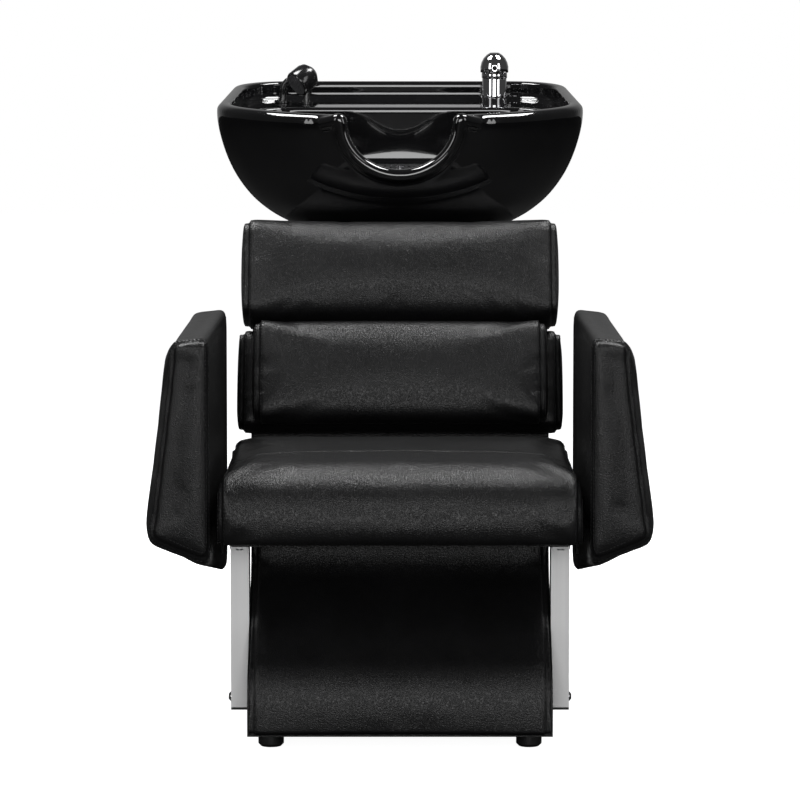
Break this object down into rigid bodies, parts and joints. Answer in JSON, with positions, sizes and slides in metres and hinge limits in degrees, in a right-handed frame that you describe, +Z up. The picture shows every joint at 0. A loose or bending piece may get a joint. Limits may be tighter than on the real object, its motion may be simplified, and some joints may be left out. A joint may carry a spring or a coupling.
{
  "type": "hairdressing sink",
  "caption": "Salon backwash unit: upholstered chair with flared arms on a padded base, with a tilting glazed wash bowl, lever mixer tap and hand spray behind the backrest.",
  "frame": {"origin": "on the floor, under the middle of the unit's bounding box", "axes": "+Z up, the sitter faces -Y, +X to the sitter's left, seen on the right in the picture"},
  "size_m": [0.7162, 1.121, 0.9624],
  "materials": {
    "glaze": "black high-gloss glaze",
    "upholstery": "black leatherette with fine grain and a soft sheen",
    "black_panel": "board covered in black leatherette",
    "plywood": "plain plywood",
    "satin_steel": "satin flat tube",
    "black_plastic": "moulded black plastic",
    "rubber": "black rubber",
    "chrome": "polished chrome",
    "black_gloss": "glossy black plastic",
    "grey_plastic": "grey moulded plastic",
    "index_plastic": "dark round indicator",
    "strainer_steel": "stainless steel",
    "brass": "turned brass",
    "black_steel": "black powder coat",
    "zinc": "zinc-plated steel"
  },
  "bodies": {
    "chair": {"arm_board_left": "plywood", "arm_board_right": "plywood", "arm_bracket_left": "black_steel", "arm_bracket_right": "black_steel", "arm_pad_left": "upholstery", "arm_pad_right": "upholstery", "back_board": "black_panel", "base_bottom_board": "black_panel", "base_front_cover": "upholstery", "base_side_left": "black_panel", "base_side_right": "black_panel", "column_bracket_left": "black_steel", "column_bracket_right": "black_steel", "column_top_board": "black_panel", "foot_back_left": "black_plastic", "foot_back_right": "black_plastic", "foot_front_left": "black_plastic", "foot_front_right": "black_plastic", "leg_bolts": "chrome", "leg_end_cap_left": "black_plastic", "leg_end_cap_right": "black_plastic", "leg_nuts": "zinc", "lower_back_cushion": "upholstery", "lumbar_pad": "upholstery", "panel_bolts": "zinc", "pivot_bolts": "zinc", "pivot_nuts": "zinc", "rear_access_panel": "black_panel", "seat_board": "black_panel", "seat_cushion": "upholstery", "side_leg_left": "satin_steel", "side_leg_right": "satin_steel", "tilt_washers": "rubber", "upper_back_cushion": "upholstery", "wood_screws": "zinc"},
    "bowl": {"bowl": "glaze", "bowl_bracket_right": "black_steel", "bowl_bracket_left": "black_steel", "bracket_pad_right": "rubber", "bracket_pad_left": "rubber", "bowl_bolts": "zinc", "drain_body": "strainer_steel", "drain_washer": "rubber", "drain_locknut": "grey_plastic", "tap_body": "chrome", "tap_locknut": "brass", "tap_cartridge": "grey_plastic", "tap_ring": "chrome", "spray_rest": "black_gloss", "spray_guide": "black_gloss", "deck_nuts": "zinc"},
    "strainer": {"hair_strainer": "strainer_steel"},
    "spray": {"spray_head": "black_gloss", "spray_face": "grey_plastic"},
    "tap_swivel": {"tap_stem": "brass"},
    "tap_lever": {"tap_handle": "chrome", "lever_pin": "zinc", "tap_index": "index_plastic"}
  },
  "joints": [
    {"name": "bowl_tilt", "type": "hinge", "parent": "chair", "child": "bowl", "pos_m": [0, 0.308, 0.668], "axis": [1, 0, 0], "range_deg": [-12, 6]},
    {"name": "strainer_lift", "type": "slide", "parent": "bowl", "child": "strainer", "axis": [0, -0.0941, 0.9956], "range_m": [0, 0.06]},
    {"name": "spray_lift", "type": "slide", "parent": "bowl", "child": "spray", "axis": [0, -0.0941, 0.9956], "range_m": [0, 0.08]},
    {"name": "tap_turn", "type": "hinge", "parent": "bowl", "child": "tap_swivel", "pos_m": [0.153, 0.4688, 0.87957], "axis": [0, -0.0941, 0.9956], "range_deg": [-45, 45]},
    {"name": "tap_lift", "type": "hinge", "parent": "tap_swivel", "child": "tap_lever", "pos_m": [0.153, 0.46466, 0.92338], "axis": [1, 0, 0], "range_deg": [0, 18]}
  ]
}
